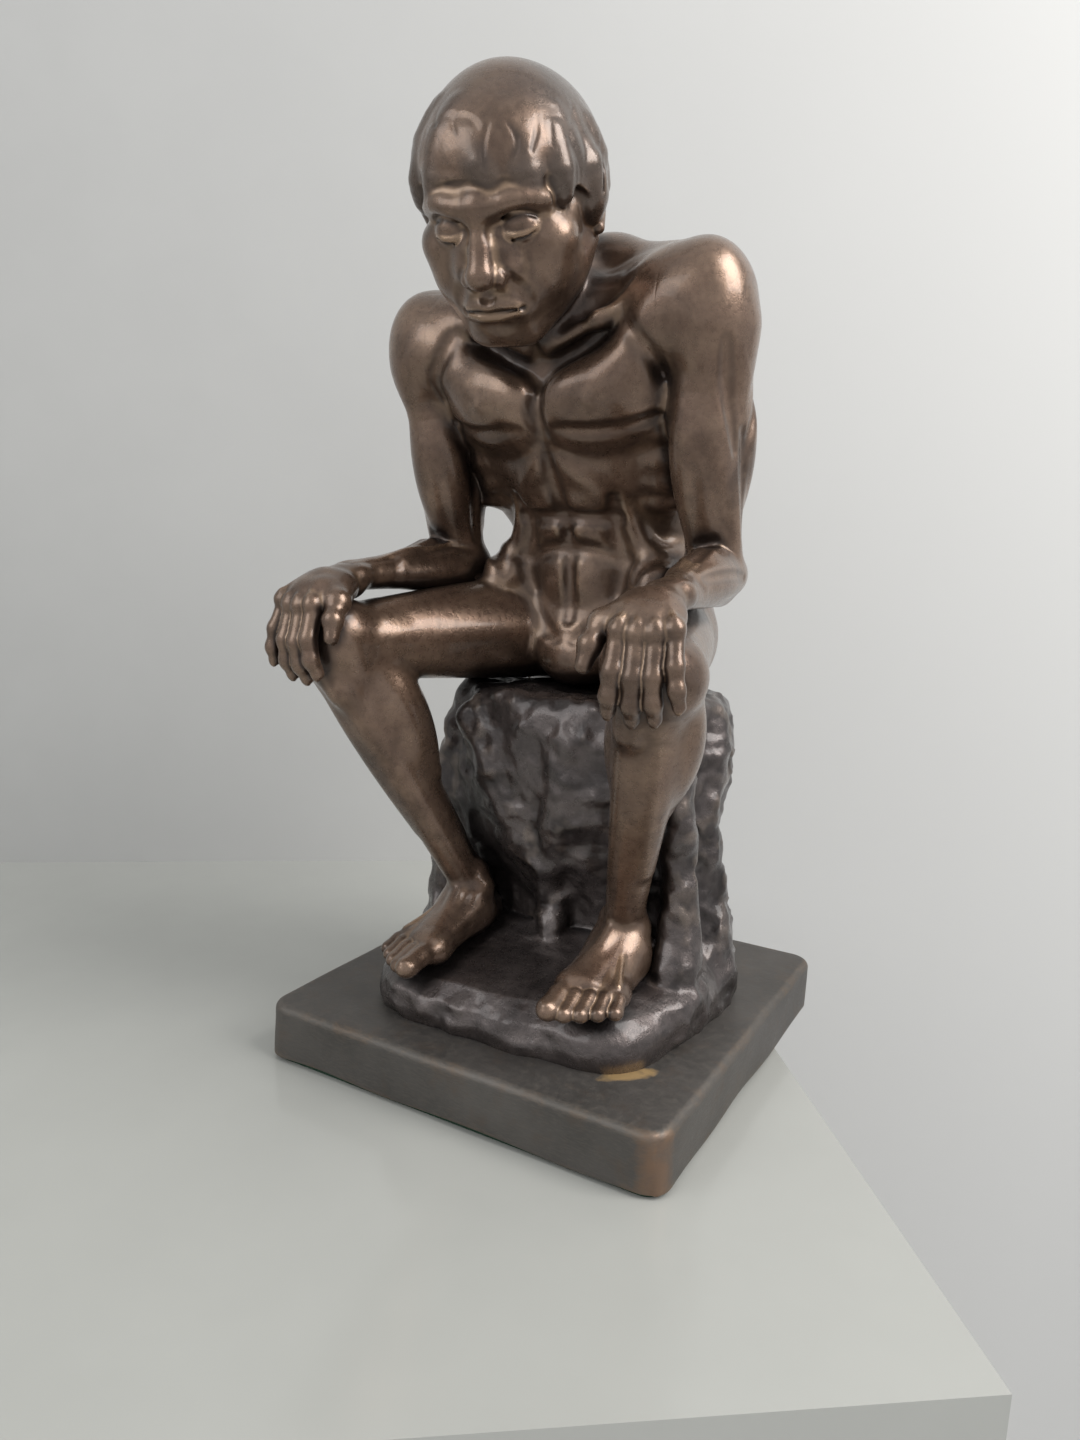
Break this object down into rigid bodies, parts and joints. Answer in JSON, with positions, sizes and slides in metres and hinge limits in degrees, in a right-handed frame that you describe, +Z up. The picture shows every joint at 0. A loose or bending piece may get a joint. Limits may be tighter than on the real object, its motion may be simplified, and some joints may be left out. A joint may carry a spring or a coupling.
{
  "type": "seated figure statuette",
  "caption": "Patinated bronze statuette of a nude figure seated on a rough rock, forearms resting on the thighs and hands over the knees, on a square slab.",
  "frame": {"origin": "middle of the felt's underside, which stands on the table", "axes": "+X to the figure's left, -Y the way the figure faces, +Z up from the slab to the head"},
  "size_m": [0.17, 0.1778, 0.3583],
  "materials": {
    "figure_bronze": "cast bronze, warm brown patina worn to gold-brown on the high spots, waxed satin",
    "rock_bronze": "cast bronze, near-black brown patina, satin, hand-modelled lumps",
    "slab_bronze": "cast bronze, dull grey-brown patina with rubbed edges",
    "felt": "dark wool felt",
    "pin_metal": "drawn bronze rod, filed flush and toned",
    "screw_steel": "plain turned steel"
  },
  "bodies": {
    "root": {"torso": "figure_bronze", "head": "figure_bronze", "left_arm": "figure_bronze", "right_arm": "figure_bronze", "left_leg": "figure_bronze", "right_leg": "figure_bronze", "rock": "rock_bronze", "base_plate": "slab_bronze", "base_felt": "felt", "neck_pin": "pin_metal", "left_shoulder_pin": "pin_metal", "right_shoulder_pin": "pin_metal", "left_hip_pin": "pin_metal", "right_hip_pin": "pin_metal", "left_foot_dowel": "pin_metal", "right_foot_dowel": "pin_metal", "base_screws": "screw_steel", "base_washers": "screw_steel", "seat_screws": "screw_steel", "seat_washers": "screw_steel"}
  },
  "joints": []
}
